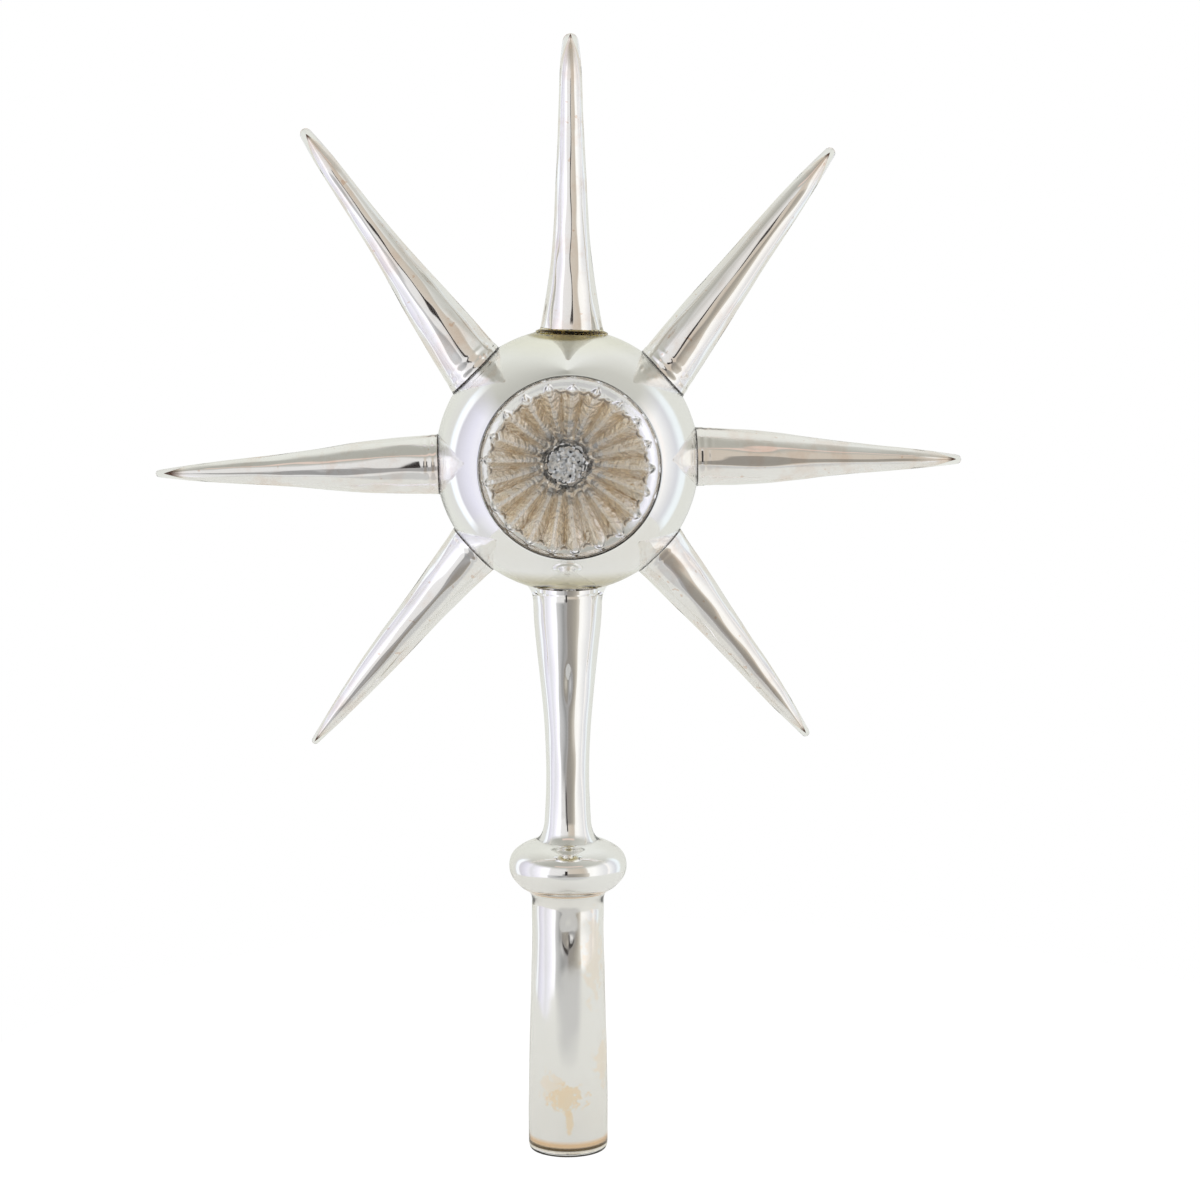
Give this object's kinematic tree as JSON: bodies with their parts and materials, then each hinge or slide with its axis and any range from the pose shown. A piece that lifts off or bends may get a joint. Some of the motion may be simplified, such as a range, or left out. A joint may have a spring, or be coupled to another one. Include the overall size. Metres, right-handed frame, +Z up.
{
  "type": "tree topper finial",
  "caption": "Silvered blown-glass star finial: a ball with a fluted reflector and glitter dot, tapering spikes all round, and a knopped stem ending in an open socket.",
  "frame": {"origin": "centre of the socket's open mouth, in the plane of its lip", "axes": "+Z up along the stem to the top spike, -Y the front that the reflector faces, +X to the right seen from the front"},
  "size_m": [0.2355, 0.067, 0.3298],
  "materials": {
    "silvered_ball": "mirror-silvered from inside, polished",
    "silvered_reflector": "pressed flutes, silvered, uneven",
    "glitter": "coarse silver glitter in clear glue",
    "silvered_spikes": "mirror-silvered from inside, drawn glass",
    "silvered_stem": "mirror-silvered from inside, polished",
    "silvered_socket": "silvered from inside, thin and stained near the mouth"
  },
  "bodies": {
    "root": {"ball": "silvered_ball", "reflector": "silvered_reflector", "glitter_dot": "glitter", "spike_top": "silvered_spikes", "spike_upper_right": "silvered_spikes", "spike_right": "silvered_spikes", "spike_lower_right": "silvered_spikes", "spike_lower_left": "silvered_spikes", "spike_left": "silvered_spikes", "spike_upper_left": "silvered_spikes", "stem": "silvered_stem", "knop": "silvered_stem", "socket": "silvered_socket"}
  },
  "joints": []
}
